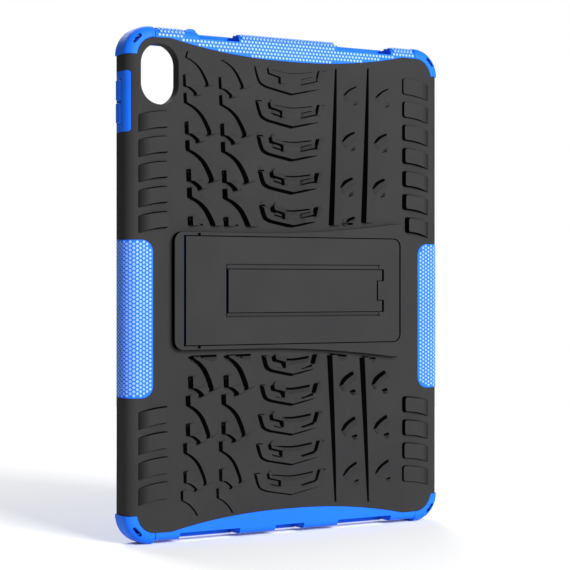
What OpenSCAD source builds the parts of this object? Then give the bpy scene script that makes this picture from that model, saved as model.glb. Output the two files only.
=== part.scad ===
// Two-layer rugged case for a tablet: a soft inner sleeve with corner bumpers, a hard
// outer shell with a tyre-tread back, and a folding kickstand with a prop leg.
// The case stands upright on its bottom edge: X across, Y from back to screen, Z up.
// The origin is under the middle of the case's depth and width.

/* [Tablet] */
// Width of the tablet that the case holds
tablet_w = 179.5; // [170:0.5:190]
// Height of the tablet
tablet_h = 248.6; // [240:0.1:255]
// Thickness of the tablet
tablet_t = 7.0; // [6:0.1:8]

/* [Sleeve] */
// Soft wall at the long sides, shell included
side_wall = 4.35; // [4:0.05:6]
// Soft wall at the top and bottom
end_wall = 3.4; // [3:0.1:5]
// Soft back under the hard shell
sleeve_back = 4.6; // [4:0.1:6]
// How far the front lip covers the tablet
lip_reach = 2.6; // [2:0.1:4]
// Thickness of the front lip
lip_t = 1.5; // [1:0.1:2.5]

/* [Shell] */
// Thickness of the hard back
shell_t = 1.9; // [1.6:0.1:2.5]
// Thickness of the hard sides
shell_side_t = 1.7; // [1.4:0.1:2]
// Radius of the long back edges
back_edge_r = 6; // [4:0.5:7]

/* [Kickstand] */
// Height of the kickstand's platform over the back
platform_h = 3.4; // [3.2:0.1:4]
// Thickness of the kickstand plate
plate_t = 2.8; // [2.6:0.1:3]
// Thickness of the prop leg
leg_t = 2.4; // [2:0.1:2.6]
// Gap round the plate in its recess
plate_gap = 0.35; // [0.3:0.05:0.6]
// Radius of the plate's pivot pins
pivot_r = 0.8; // [0.6:0.05:0.9]
// Radius of the leg's hinge pin
leg_pin_r = 0.6; // [0.5:0.05:0.7]

/* [Buttons] */
// Length of one volume button cover
button_l = 10.4; // [8:0.1:10.5]
// Width of one volume button cover
button_w = 5.4; // [4:0.1:6]
// How far a cover stands out of the side
button_out = 0.6; // [0.4:0.1:0.8]

/* [Hidden] */

blue = [0.20, 0.45, 0.95];
black = [0.17, 0.17, 0.17];
steel = [0.60, 0.61, 0.63];

fit = 0.3;                 // room round the tablet
layer_gap = 0.1;           // gap between the sleeve and the shell
running = 0.05;            // radial clearance of a pin that turns
far = 400;                 // longer than any part of the case

// Depths, from the kickstand's face at the back to the lip at the front
base_t = shell_t + sleeve_back + tablet_t + 0.2 + lip_t;
depth = base_t + platform_h;
face_y = -depth / 2;
back_y = face_y + platform_h;
sleeve_y = back_y + shell_t + layer_gap;
pocket_y = back_y + shell_t + sleeve_back;
lip_y = pocket_y + tablet_t + 0.2;
front_y = depth / 2;
shell_front_y = front_y - 1.7;

// Plan sizes
pocket_w = tablet_w + 2 * fit;
pocket_h = tablet_h + 2 * fit;
pocket_r = 12;
case_w = pocket_w + 2 * side_wall;
band_h = pocket_h + 2 * end_wall + 0.6;
corner_r = pocket_r + 3.4;
bumper_side = 0.8;         // how far a bumper stands out past the side
bumper_r = 14.8;           // outer radius of a bumper in plan
bumper_end = 1.7;          // how far a bumper stands out past the end bands
mid_z = band_h / 2 + bumper_end;

// Bumper corners start here
bumper_x = 78.5;
bumper_z = 115;

// Outline of the hard back: a waist between the end bands
waist_z = 116.9;           // half height at the middle
peak_z = 124.1;            // half height by the corners
peak_x = 70;
shoulder_x = 78.5;         // centre of the corner arc
shoulder_z = 114;
shoulder_r = 10;
side_top_z = 114.8;        // top of the long sides, just under the bumpers
side_top_x = 92.5;

// Cut-outs at the long sides, as [lowest, highest] heights from the middle
grip_z = [-56.5, 22.6];
grip_x = 80;
grip_r = 6;
panel_z = [76.3, 106.9];
panel_x = 91.6;
panel_r = 1.5;

// Camera window
camera_x = [-86.7, -65.8];
camera_z = [90.5, 121.1];
collar_t = 0.9;            // the shell's collar that lines the camera window

// Slots in the end bands, as [left, right]
top_slots = [[-54.5, -31], [28.5, 62.5]];
bottom_slots = [[-65, -30.5], [-9.5, 7.8], [28.8, 62.5]];
slot_floor = 0.5;          // soft stock left under a slot's back edge
fence_low = 0.9;           // how far the rim behind a slot stays inside the bumpers
ridge_x = [-61, -54.7];    // raised finger ridge on the top edge, beside the slot
ridge_y = [-3.4, 6.8];

// Kickstand, as distances from the middle of the case
hinge_x = -56.1;
plate_x = [-63.35, 65.7];
plate_z = [-30.4, 24.65];
plate_corner = 4;
recess_x = [-64.35, 66.5];
recess_floor_y = face_y + plate_t + 0.3;
hinge_y = face_y + plate_t / 2;
platform_x = [-69.7, 68.2];
platform_z = [-32.9, 27.0];
platform_flare = 6;        // how much taller the platform is at its right end
pin_l = 6;
pin_in_shell = 1.7;
well_x = [-65, -54.8];     // room for the plate's short end as it swings in
well_floor_y = face_y + 7.9;

// Prop leg
leg_hinge_x = 53.3;
leg_hinge_y = face_y + leg_t / 2;
leg_x = [-39.2, 54.6];
leg_z = [-14.2, 8.1];
leg_gap = 0.3;
lug_z = [-8, 2];           // the plate's lug between the leg's knuckles
lug_x = 51.9;
window_x = [-40.5, 55.7];
rail_z = [-16.4, 10.4];    // sunk rails beside the leg
rail_x = [-40.5, 52.5];
rail_depth = 0.5;
foot_x = [-41.2, -22.6];   // slot that the leg's foot runs in
foot_floor_y = face_y + 6.4;

// Volume buttons
button_y = pocket_y + tablet_t / 2;
button_gap = 0.35;
button_mid_z = 91.7;
button_pitch = 11.5;

// Tread
tread_low = 0.7;           // height by the end bands
tread_high = 3.2;          // height by the kickstand
tread_top_z = 115;
tread_kick_z = 32;

// ---- helpers ----

function arc(cx, cy, r, a0, a1, n = 6) =
  [for (i = [0:n]) let (a = a0 + (a1 - a0) * i / n) [cx + r * cos(a), cy + r * sin(a)]];

// Rectangle from lo to hi with four rounded corners of radius r
function round_box(lo, hi, r, n = 8) = concat(
  arc(hi[0] - r, hi[1] - r, r, 0, 90, n), arc(lo[0] + r, hi[1] - r, r, 90, 180, n),
  arc(lo[0] + r, lo[1] + r, r, 180, 270, n), arc(hi[0] - r, lo[1] + r, r, 270, 360, n));

// Cross-section from -half to half and y0 to y1, rounded r0 at y0 and r1 at y1
function section(half, y0, y1, r0, r1) = concat(
  arc(half - r0, y0 + r0, r0, -90, 0), arc(half - r1, y1 - r1, r1, 0, 90),
  arc(-half + r1, y1 - r1, r1, 90, 180), arc(-half + r0, y0 + r0, r0, 180, 270));

// A plan outline in X and height from the middle, given depth from y0 to y1
module plan(y0, y1) translate([0, y1, mid_z]) rotate([90, 0, 0])
  linear_extrude(y1 - y0) children();

// A block between two corners whose heights are counted from the middle
module block(x, y, z) translate([x[0], y[0], mid_z + z[0]])
  cube([x[1] - x[0], y[1] - y[0], z[1] - z[0]]);

// A pin or a bore along Z, from z[0] to z[1] over the middle
module rod(x, y, z, r) translate([x, y, mid_z + z[0]])
  cylinder(r = r, h = z[1] - z[0], $fn = 48);

// Solid with the case's rounded outline and rounded long edges
module body(w, h, r, y0, y1, side_r0, side_r1, end_r0, end_r1) intersection() {
  plan(y0, y1) polygon(round_box([-w / 2, -h / 2], [w / 2, h / 2], r));
  linear_extrude(far) polygon(section(w / 2, y0, y1, side_r0, side_r1));
  translate([-far / 2, 0, mid_z]) rotate([90, 0, 90])
    linear_extrude(far) polygon([for (p = section(h / 2, y0, y1, end_r0, end_r1)) [p[1], p[0]]]);
}

// ---- hard shell ----

function waist(x) = waist_z + (peak_z - waist_z) * pow(min(abs(x), peak_x) / peak_x, 2.2);
function half_top(g) = concat(
  [for (x = [0:7:peak_x]) [x, waist(x) + g]],
  arc(shoulder_x, shoulder_z, shoulder_r + g, 88, 16, 6),
  [[side_top_x + g, side_top_z + g], [far / 2, side_top_z + g]]);
function flip(points, sx, sy) = [for (p = points) [p[0] * sx, p[1] * sy]];
function reversed(v) = [for (i = [len(v) - 1:-1:0]) v[i]];

// Plan outline of the shell, grown by g
function back_outline(g) = concat(
  half_top(g), reversed(flip(half_top(g), 1, -1)),
  flip(half_top(g), -1, -1), reversed(flip(half_top(g), -1, 1)));

module grip_plan(g) for (s = [-1, 1]) polygon(round_box(
  [s < 0 ? -far / 2 : grip_x + g, grip_z[0] + g],
  [s < 0 ? -grip_x - g : far / 2, grip_z[1] - g], grip_r));
module panel_plan(g) polygon(round_box(
  [-far / 2, panel_z[0] + g], [-panel_x - g, panel_z[1] - g], panel_r));

// Space that the shell fills, grown by g for the sleeve's seat
module shell_zone(g) difference() {
  intersection() {
    plan(-far / 2, far / 2) polygon(back_outline(g));
    union() {
      block([-far / 2, far / 2], [-far / 2, back_y + shell_t + g], [-far / 2, far / 2]);
      for (s = [-1, 1]) translate([s * (far / 2 + case_w / 2 - shell_side_t - g), 0, mid_z])
        cube(far, center = true);
    }
  }
  plan(-far / 2, far / 2) grip_plan(g);
  plan(-far / 2, far / 2) panel_plan(g);
}

module camera_window(g = 0, y0 = -far / 2, y1 = pocket_y + 1) plan(y0, y1)
  polygon(round_box([camera_x[0] - g, camera_z[0] - g], [camera_x[1] + g, camera_z[1] + g],
                    (camera_x[1] - camera_x[0]) / 2 + g));

function flare(x) = platform_flare * pow(max(0, (x + 22) / 84), 1.9);
function platform_outline() = concat(
  arc(platform_x[0] + 5, platform_z[0] + 5, 5, 180, 270),
  [for (x = [-40:10:60]) [x, platform_z[0] - flare(x)]],
  arc(platform_x[1] - 4.5, platform_z[0] - flare(62) + 4.5, 4.5, 280, 360),
  arc(platform_x[1] - 4.5, platform_z[1] + flare(62) - 4.5, 4.5, 0, 80),
  [for (x = [60:-10:-40]) [x, platform_z[1] + flare(x)]],
  arc(platform_x[0] + 5, platform_z[1] - 5, 5, 90, 180));

module kickstand_recess() {
  block([recess_x[0], 0], [face_y - 1, recess_floor_y],
        [plate_z[0] - plate_gap, plate_z[1] + plate_gap]);
  plan(face_y - 1, recess_floor_y) polygon(round_box(
    [-2 * plate_corner, plate_z[0] - plate_gap], [recess_x[1], plate_z[1] + plate_gap],
    plate_corner + plate_gap));
  block(well_x, [face_y + 1, well_floor_y], [plate_z[0] - plate_gap, plate_z[1] + plate_gap]);
  block(foot_x, [face_y + 1, foot_floor_y], [leg_z[0] - leg_gap, leg_z[1] + leg_gap]);
  rod(hinge_x, hinge_y, [plate_z[0] - plate_gap - pin_in_shell, plate_z[1] + plate_gap + pin_in_shell],
      pivot_r + running);
  for (z = [plate_z[0] - 1.7, plate_z[1] + 0.3])
    block([hinge_x - 0.75, hinge_x + 0.75], [face_y - 1, face_y + 0.7], [z, z + 1.4]);
}

// Tread height at height z from the middle
function tread(z) = tread_low
  + (tread_high - tread_low) * (tread_top_z - abs(z)) / (tread_top_z - tread_kick_z);

// A raised block of the tread with a flat top
module tread_block(points, h) plan(back_y - h, back_y + 0.5) polygon(points);

// Wedge of the shoulder: tall at x0, down to the back at x1
module shoulder(x0, x1, z0, z1, h) translate([0, 0, mid_z + z0]) linear_extrude(z1 - z0)
  polygon([[x0, back_y + 0.5], [x0, back_y - h], [x0 + (x1 - x0) * 0.35, back_y - h * 0.9],
           [x1, back_y - 0.1], [x1, back_y + 0.5]]);

module tread_rows() {
  // Shoulder blocks
  for (i = [0:6]) let (z = 109 - 12.5 * i) shoulder(70, 86.9, z - 4.3, z + 2.6, tread(z));
  for (i = [1:5]) let (z = 93 - 12.7 * i) shoulder(-71, -88, z - 4.5, z + 3, tread(z));
  for (s = [-1, 1], i = [0:3]) let (z = -104 + 12.6 * i)
    shoulder(s * 70.5, s * 87.5, z - 4, z + 3.5, tread(z));
  // Middle chevrons, closer together below the kickstand
  for (z = [for (i = [0:4]) 107.5 - 18.1 * i, for (i = [0:4]) -42 - 15.2 * i])
    tread_block([[-21, z + 4], [-18, z - 3], [0, z - 6.5], [17, z - 3], [20, z + 4], [14, z + 4],
                 [0, z + 1.5], [-14, z + 4]], tread(z) * 0.8);
  // Long ribs with curved left faces
  for (x = [-60.5, -40], s = [-1, 1], i = [0:2]) let (z = s * (100.5 - 24.2 * i) + (s < 0 ? -2 : 0))
    tread_block(concat(arc(x - 14, z - 12, 25, 62, 18, 5), arc(x - 10, z - 12, 27, 18, 62, 5)),
                tread(z) * 0.8);
  // Straight ribs
  for (x = [26, 46.8], s = [-1, 1])
    tread_block([[x, s * 34], [x + 4, s * 34], [x + 4, s * 112], [x, s * 112]], 1.6);
}

module outer_shell() color(black) difference() {
  union() {
    difference() {
      intersection() {
        body(case_w, band_h, corner_r, back_y, shell_front_y, back_edge_r, 1.2, 2.5, 1.2);
        union() {
          shell_zone(0);
          camera_window(collar_t, back_y + 1, pocket_y - 0.1);
        }
      }
      camera_window();
    }
    plan(face_y, back_y + 0.5) polygon(platform_outline());
    tread_rows();
  }
  kickstand_recess();
}

// ---- soft sleeve ----

module bumper_corner(sx, sz, g) translate([0, -far / 2, mid_z])
  for (x = sx < 0 ? [-far] : [bumper_x - g]) for (z = sz < 0 ? [-far] : [bumper_z - g])
    translate([x, 0, z]) cube([far - (bumper_x - g) * (sx < 0 ? 1 : 0), far,
                               far - (bumper_z - g) * (sz < 0 ? 1 : 0)]);

// The sleeve's own corner under a bumper
module bumper_core(g) body(case_w - 5.2 + 2 * g, band_h - 3.4 + 2 * g, pocket_r + 1.8,
                           sleeve_y - g, front_y + 5, 1, 1, 1, 1);

module pocket() {
  plan(pocket_y, lip_y) polygon(round_box([-pocket_w / 2, -pocket_h / 2],
                                          [pocket_w / 2, pocket_h / 2], pocket_r));
  plan(lip_y - 1, front_y + 1) polygon(round_box(
    [-pocket_w / 2 + lip_reach, -pocket_h / 2 + lip_reach],
    [pocket_w / 2 - lip_reach, pocket_h / 2 - lip_reach], pocket_r - 2));
}

// Slots for speakers and the socket in the end bands
// Raised rim at the front of a slot
module slot_fence(x, z0, z1) plan(lip_y - 1.1, front_y - 1)
  polygon(round_box([x[0] - 2, z0], [x[1] + 2, z1], 1));

module end_slots() {
  for (x = top_slots) {
    block(x, [back_y - 1, lip_y - 1.1], [pocket_h / 2 + slot_floor, far / 2]);
    block([x[0] + 2, x[1] - 2], [pocket_y + 1.2, lip_y - 1.1], [pocket_h / 2 - 1, far / 2]);
  }
  for (x = bottom_slots) {
    block(x, [back_y - 1, lip_y - 1.1], [-far / 2, -pocket_h / 2 - slot_floor]);
    block([x[0] + 2, x[1] - 2], [pocket_y + 1.2, lip_y - 1.1], [-far / 2, -pocket_h / 2 + 1]);
  }
}

module button_holes() for (s = [-1, 1])
  block([-far / 2, -pocket_w / 2 + 1],
        [button_y - button_w / 2 - button_gap, button_y + button_w / 2 + button_gap],
        [button_mid_z + s * button_pitch / 2 - button_l / 2 - button_gap,
         button_mid_z + s * button_pitch / 2 + button_l / 2 + button_gap]);

module inner_sleeve() color(blue) difference() {
  union() {
    body(case_w - 2 * shell_side_t - 2 * layer_gap, band_h, corner_r - 1.7, back_y, front_y,
         back_edge_r - shell_side_t - layer_gap, 2, 3, 2);
    plan(ridge_y[0], ridge_y[1]) polygon(round_box([ridge_x[0], pocket_h / 2 + 1],
                                                   [ridge_x[1], mid_z], 2.2));
    for (x = top_slots) slot_fence(x, pocket_h / 2 + 1, mid_z - fence_low);
    for (x = bottom_slots) slot_fence(x, -mid_z + fence_low, -pocket_h / 2 - 1);
    intersection() {
      body(case_w, band_h, corner_r, back_y, shell_front_y, back_edge_r, 1.2, 2.5, 1.2);
      union() {
        plan(-far / 2, far / 2) grip_plan(layer_gap);
        plan(-far / 2, far / 2) panel_plan(layer_gap);
      }
    }
  }
  shell_zone(layer_gap);
  for (sx = [-1, 1], sz = [-1, 1]) difference() {
    bumper_corner(sx, sz, layer_gap);
    bumper_core(0);
  }
  pocket();
  camera_window(collar_t + layer_gap);
  kickstand_recess();
  end_slots();
  button_holes();
}

// Bumper with a diagonal air slot across its rounded back edge
module corner_bumper(sx, sz) color(blue) difference() {
  intersection() {
    body(case_w + 2 * bumper_side, band_h + 2 * bumper_end, bumper_r, back_y, front_y,
         back_edge_r - 1, 2, 3, 2);
    bumper_corner(sx, sz, 0);
  }
  bumper_core(layer_gap);
  plan(-far / 2, sleeve_y + 1) polygon(back_outline(layer_gap));
  translate([sx * 88.8, back_y + 0.6, mid_z + sz * 122.8]) rotate([0, sx * sz * 47, 0])
    cube([5.2, 3.2, 1.5], center = true);
}

module volume_cover(s) color(blue) {
  z = [button_mid_z + s * button_pitch / 2 - button_l / 2,
       button_mid_z + s * button_pitch / 2 + button_l / 2];
  block([-case_w / 2 - button_out, -pocket_w / 2 - 1.2],
        [button_y - button_w / 2, button_y + button_w / 2], z);
  block([-pocket_w / 2 - 1.2, -pocket_w / 2 - 0.6],
        [button_y - 1.2, button_y + 1.2], [z[0] + 3, z[1] - 3]);
}

// ---- kickstand ----

// The plate's long cross-section, with the inner corner of its short end cut back
function plate_section() = [
  [plate_x[0], face_y], [plate_x[1], face_y], [plate_x[1], face_y + plate_t],
  [plate_x[0] + 1.5, face_y + plate_t], [plate_x[0], face_y + 1.2]];

module kickstand_plate() color(black) difference() {
  union() {
    difference() {
      intersection() {
        translate([0, 0, mid_z + plate_z[0]]) linear_extrude(plate_z[1] - plate_z[0])
          polygon(plate_section());
        plan(face_y - 1, recess_floor_y + 1) polygon(round_box(
          [plate_x[0] - 30, plate_z[0]], [plate_x[1], plate_z[1]], plate_corner));
      }
      block(window_x, [face_y - 1, 0], [leg_z[0] - leg_gap, leg_z[1] + leg_gap]);
      block(rail_x, [face_y - 1, face_y + rail_depth], rail_z);
    }
    block([lug_x, window_x[1] + 1], [face_y, face_y + leg_t], lug_z);
  }
  rod(hinge_x, hinge_y, [plate_z[0] - 1, plate_z[0] + pin_l - pin_in_shell - plate_gap], pivot_r);
  rod(hinge_x, hinge_y, [plate_z[1] - pin_l + pin_in_shell + plate_gap, plate_z[1] + 1], pivot_r);
  rod(leg_hinge_x, leg_hinge_y, [lug_z[0] - 1, lug_z[1] + 1], leg_pin_r);
}

module kickstand_pins() color(steel) {
  rod(hinge_x, hinge_y, [plate_z[0] - plate_gap - pin_in_shell + 0.1,
                         plate_z[0] + pin_l - pin_in_shell - plate_gap], pivot_r);
  rod(hinge_x, hinge_y, [plate_z[1] - pin_l + pin_in_shell + plate_gap,
                         plate_z[1] + plate_gap + pin_in_shell - 0.1], pivot_r);
}

module prop_leg() color(black) difference() {
  block(leg_x, [face_y, face_y + leg_t], leg_z);
  block([lug_x - 0.7, leg_x[1] + 1], [face_y - 1, 0], [lug_z[0] - 0.3, lug_z[1] + 0.3]);
  rod(leg_hinge_x, leg_hinge_y, [leg_z[0] + 1, leg_z[1] - 1], leg_pin_r + running);
}

module prop_pin() color(steel)
  rod(leg_hinge_x, leg_hinge_y, [leg_z[0] + 1.1, leg_z[1] - 1.1], leg_pin_r);

outer_shell();
inner_sleeve();
corner_bumper(-1, 1);  // corner_bumper_top_left
corner_bumper(1, 1);  // corner_bumper_top_right
corner_bumper(-1, -1);  // corner_bumper_bottom_left
corner_bumper(1, -1);  // corner_bumper_bottom_right
volume_cover(1);  // volume_up_cover
volume_cover(-1);  // volume_down_cover
kickstand_plate();
kickstand_pins();
prop_leg();
prop_pin();
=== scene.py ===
"""A rugged two-layer tablet case: soft blue sleeve, hard black tread-pattern shell, kickstand.

The pieces are built in millimetres, with heights counted from the middle of the case. When a
piece is finished it is moved up and turned to metres in the frame's own place. The studio is in
metres from the start.
"""
import logging
import math
from dataclasses import dataclass, field
from enum import Enum
from typing import Callable, Iterator, Sequence

import bmesh
import bpy
from mathutils import Matrix, Vector


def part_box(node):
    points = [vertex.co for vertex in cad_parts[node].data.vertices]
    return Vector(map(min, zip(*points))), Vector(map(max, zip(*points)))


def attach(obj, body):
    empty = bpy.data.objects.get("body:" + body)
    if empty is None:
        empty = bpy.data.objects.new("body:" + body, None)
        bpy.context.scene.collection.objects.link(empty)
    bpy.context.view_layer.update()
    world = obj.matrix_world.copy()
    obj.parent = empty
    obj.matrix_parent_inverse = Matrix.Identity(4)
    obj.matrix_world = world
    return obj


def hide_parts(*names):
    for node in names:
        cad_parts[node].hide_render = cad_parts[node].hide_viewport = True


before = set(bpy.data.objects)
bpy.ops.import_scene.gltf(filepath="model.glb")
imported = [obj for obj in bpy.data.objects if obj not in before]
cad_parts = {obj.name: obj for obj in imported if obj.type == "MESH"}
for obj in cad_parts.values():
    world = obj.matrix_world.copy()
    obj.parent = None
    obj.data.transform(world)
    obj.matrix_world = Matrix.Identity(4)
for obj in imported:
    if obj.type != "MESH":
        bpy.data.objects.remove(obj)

logging.basicConfig(level=logging.INFO, format="%(levelname)s %(message)s")
LOG = logging.getLogger("tablet_case")
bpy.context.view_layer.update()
MM = 0.001
Point = tuple[float, float]
Ring = list[Vector]


# ---------------------------------------------------------------- finishes

class Body(Enum):
    """The moving bodies of the case."""

    CASE = "case"
    KICKSTAND = "kickstand"
    PROP = "prop"
    VOLUME_UP = "volume_up"
    VOLUME_DOWN = "volume_down"


class Slot(Enum):
    """The record's material slot names, which no piece here uses."""

    SHELL = "shell_black"
    KICKSTAND = "kickstand_black"
    SLEEVE = "sleeve_blue"
    BUMPER = "bumper_blue"


def to_linear(code: str) -> tuple[float, float, float, float]:
    """Turn an sRGB hex colour into linear values.

    Args:
        code: Six hex digits after a hash sign.

    Returns:
        Linear red, green, blue and an alpha of one.
    """
    parts = [int(code[i:i + 2], 16) / 255 for i in (1, 3, 5)]
    linear = [c / 12.92 if c <= 0.04045 else ((c + 0.055) / 1.055) ** 2.4 for c in parts]
    return (*linear, 1.0)


def add_node(tree: bpy.types.NodeTree, kind: str, sockets: dict | None = None,
             **settings: object) -> bpy.types.Node:
    """Add one shader node.

    Args:
        tree: The node tree that it goes in.
        kind: The node's type name.
        sockets: A value or another node's output for each input that isn't at its default.
        settings: The node's own properties.

    Returns:
        The new node.
    """
    node = tree.nodes.new(kind)
    for name, value in settings.items():
        setattr(node, name, value)
    for name, value in (sockets or {}).items():
        if isinstance(value, bpy.types.NodeSocket):
            tree.links.new(value, node.inputs[name])
        else:
            node.inputs[name].default_value = value
    return node


@dataclass(frozen=True)
class Finish:
    """One real surface: what it is made of and how it was made.

    Attributes:
        name: Common name of the material and its process.
        colour: sRGB colour of the surface.
        shade: sRGB colour of its darker patches.
        roughness: Mean roughness.
        spread: How much the roughness varies.
        grain: Size of the mould's grain in millimetres.
        relief: Depth of the grain in millimetres.
        patch: Size of the slow colour patches in millimetres.
        metallic: One for a bare metal.
        shine: Strength of the surface reflection, half of it for a clear one.
        fade: Distances across from the middle, in millimetres, between which painted shade darkens it
            to the wall shade colour.
    """

    name: str
    colour: str
    shade: str
    roughness: float
    spread: float = 0.06
    grain: float = 0.6
    relief: float = 0.02
    patch: float = 25.0
    metallic: float = 0.0
    shine: float = 0.2
    fade: tuple[float, float] | None = None

    def material(self) -> bpy.types.Material:
        """Build the material, or find the one that is already built.

        Returns:
            The material.
        """
        if self.name in bpy.data.materials:
            return bpy.data.materials[self.name]
        made = bpy.data.materials.new(self.name)
        made.use_nodes = True
        tree = made.node_tree
        tree.nodes.clear()
        place = add_node(tree, "ShaderNodeTexCoord").outputs["Object"]
        patches = add_node(tree, "ShaderNodeTexNoise",
                           {"Vector": place, "Scale": 1 / (self.patch * MM), "Detail": 3.0})
        grain = add_node(tree, "ShaderNodeTexNoise",
                         {"Vector": place, "Scale": 1 / (self.grain * MM), "Detail": 2.0})
        blend = add_node(tree, "ShaderNodeMapRange",
                         {"Value": patches.outputs["Fac"], "From Min": 0.3, "From Max": 0.7})
        speck = add_node(tree, "ShaderNodeMath",
                         {0: grain.outputs["Fac"], 1: 0.35}, operation="MULTIPLY")
        amount = add_node(tree, "ShaderNodeMath",
                          {0: blend.outputs["Result"], 1: speck.outputs["Value"]},
                          operation="SUBTRACT", use_clamp=True)
        colour = add_node(tree, "ShaderNodeMix",
                          {"Factor": amount.outputs["Value"], "A": to_linear(self.shade),
                           "B": to_linear(self.colour)}, data_type="RGBA")
        # Painted shade: darken towards the wall shade colour by the distance across.
        if self.fade:
            across = add_node(tree, "ShaderNodeSeparateXYZ", {"Vector": place}).outputs["X"]
            out = add_node(tree, "ShaderNodeMath", {0: across}, operation="ABSOLUTE")
            share = add_node(tree, "ShaderNodeMapRange",
                             {"Value": out.outputs["Value"], "From Min": self.fade[0] * MM,
                              "From Max": self.fade[1] * MM})
            colour = add_node(tree, "ShaderNodeMix",
                              {"Factor": share.outputs["Result"], "A": colour.outputs["Result"],
                               "B": to_linear(WALL_SHADE_ABS.colour)}, data_type="RGBA")
        rough = add_node(tree, "ShaderNodeMapRange",
                         {"Value": grain.outputs["Fac"], "To Min": self.roughness - self.spread,
                          "To Max": self.roughness + self.spread})
        bump = add_node(tree, "ShaderNodeBump",
                        {"Height": grain.outputs["Fac"], "Strength": 0.5,
                         "Distance": self.relief * MM})
        shader = add_node(tree, "ShaderNodeBsdfPrincipled",
                          {"Base Color": colour.outputs["Result"],
                           "Roughness": rough.outputs["Result"], "Normal": bump.outputs["Normal"],
                           "Metallic": self.metallic, "Specular IOR Level": self.shine})
        add_node(tree, "ShaderNodeOutputMaterial", {"Surface": shader.outputs["BSDF"]})
        return made


# Spark-eroded ABS: a mould etched all over scatters the light, so the black reads as dark grey.
ETCHED_ABS = Finish("etched black ABS", "#2a2a2a", "#272728", 0.72, shine=0.05)
# The same black ABS painted near black on the walls: painted shade for the shadow and occlusion that
# the walls lie in.
WALL_SHADE_ABS = Finish("black ABS with painted wall shade", "#020202", "#010101", 0.5, relief=0.004, shine=0.03)
# The etched ABS with painted shade: it darkens towards the blocks' outer ends, where they turn away
# from the light.
SHADE_FADED_ABS = Finish("black ABS with painted shade at the outer ends", "#2a2a2a", "#272728", 0.72, shine=0.05,
                   fade=(82.5, 89.5))
# The kickstand's finer etch.
FINE_ABS = Finish("fine etched black ABS", "#292929", "#262627", 0.68, grain=0.45, shine=0.06)
# Soft TPU from a satin mould: even colour with a low, wide gloss.
SATIN_TPU = Finish("satin blue TPU", "#1a61d8", "#195ed4", 0.45, grain=0.8, relief=0.01, shine=0.05)
# A painted highlight: the dots' flanks are paler blue for the light that they catch.
LIT_FLANK_TPU = Finish("blue TPU with painted light on the flanks", "#4578d8", "#4074d4", 0.6, grain=0.8, relief=0.01, shine=0.05)
# A stronger painted highlight: the dots' crowns are paler still, where they catch the light.
LIT_CROWN_TPU = Finish("blue TPU with a painted highlight", "#7b9dd0", "#7396ca", 0.4, relief=0.004)
# Steel rod with a black oxide: a dark metal with fine turning marks.
OXIDE_STEEL = Finish("black oxide steel", "#101011", "#0c0c0d", 0.4, grain=0.15, metallic=1.0)


# ---------------------------------------------------------------- shared measures

@dataclass(frozen=True)
class CaseFrame:
    """Planes and half sizes of the case, read from the frame, in millimetres."""

    face_y: float
    back_y: float
    front_y: float
    shell_front_y: float
    half_w: float
    half_band: float
    half_bumper_w: float
    half_h: float
    mid_z: float

    @classmethod
    def measure(cls) -> "CaseFrame":
        """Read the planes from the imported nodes.

        Returns:
            The measures of the case.
        """
        shell_lo, shell_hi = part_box("outer_shell")
        sleeve_lo, sleeve_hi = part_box("inner_sleeve")
        corner_lo, corner_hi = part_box("corner_bumper_top_right")
        base_lo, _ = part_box("corner_bumper_bottom_right")
        mid = (corner_hi.z + base_lo.z) / 2
        return cls(face_y=shell_lo.y / MM, back_y=sleeve_lo.y / MM, front_y=sleeve_hi.y / MM,
                   shell_front_y=shell_hi.y / MM, half_w=shell_hi.x / MM,
                   half_band=(mid - sleeve_lo.z) / MM, half_bumper_w=corner_hi.x / MM,
                   half_h=(corner_hi.z - mid) / MM, mid_z=mid / MM)


CASE = CaseFrame.measure()


def arc(cx: float, cz: float, r: float, start: float, stop: float, steps: int = 8) -> list[Point]:
    """Give the points of an arc.

    Args:
        cx: Centre across.
        cz: Centre height.
        r: Radius.
        start: First angle in degrees.
        stop: Last angle in degrees.
        steps: Number of equal steps.

    Returns:
        The points from start to stop.
    """
    angles = [math.radians(start + (stop - start) * i / steps) for i in range(steps + 1)]
    return [(cx + r * math.cos(a), cz + r * math.sin(a)) for a in angles]


def round_box(lo: Point, hi: Point, r: float, steps: int = 8) -> list[Point]:
    """Give the outline of a rectangle with four rounded corners.

    Args:
        lo: Lowest corner.
        hi: Highest corner.
        r: Corner radius.
        steps: Steps in each corner.

    Returns:
        The outline, anticlockwise.
    """
    corners = ((hi[0] - r, hi[1] - r), (lo[0] + r, hi[1] - r),
               (lo[0] + r, lo[1] + r), (hi[0] - r, lo[1] + r))
    return [p for i, (x, z) in enumerate(corners) for p in arc(x, z, r, 90 * i, 90 * i + 90, steps)]


def smooth_path(points: Sequence[Point], step: float = 0.9) -> list[Point]:
    """Run a smooth curve through a few points.

    Args:
        points: The points that it passes.
        step: Rough distance between the points that come back.

    Returns:
        Closely spaced points along the curve.
    """
    ends = [points[0], *points, points[-1]]
    path: list[Point] = []
    for before, a, b, after in zip(ends, ends[1:], ends[2:], ends[3:]):
        count = max(2, round(math.dist(a, b) / step))
        for i in range(count):
            t = i / count
            path.append(tuple(
                0.5 * (2 * a[k] + (b[k] - before[k]) * t
                       + (2 * before[k] - 5 * a[k] + 4 * b[k] - after[k]) * t * t
                       + (3 * a[k] - before[k] - 3 * b[k] + after[k]) * t ** 3) for k in (0, 1)))
    return [*path, points[-1]]


# ---------------------------------------------------------------- mesh work

def sweep(bm: bmesh.types.BMesh, rings: Sequence[Ring]) -> None:
    """Extrude a closed outline step by step through its stations.

    Args:
        bm: The mesh that the solid is added to.
        rings: The outline at each station, each with the same number of points.
    """
    cap = bm.faces.new([bm.verts.new(p) for p in rings[0]])
    for ring in rings[1:]:
        moved = bmesh.ops.extrude_face_region(bm, geom=[cap])["geom"]
        cap = next(item for item in moved if isinstance(item, bmesh.types.BMFace))
        for loop, place in zip(cap.loops, ring):
            loop.vert.co = place


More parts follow.
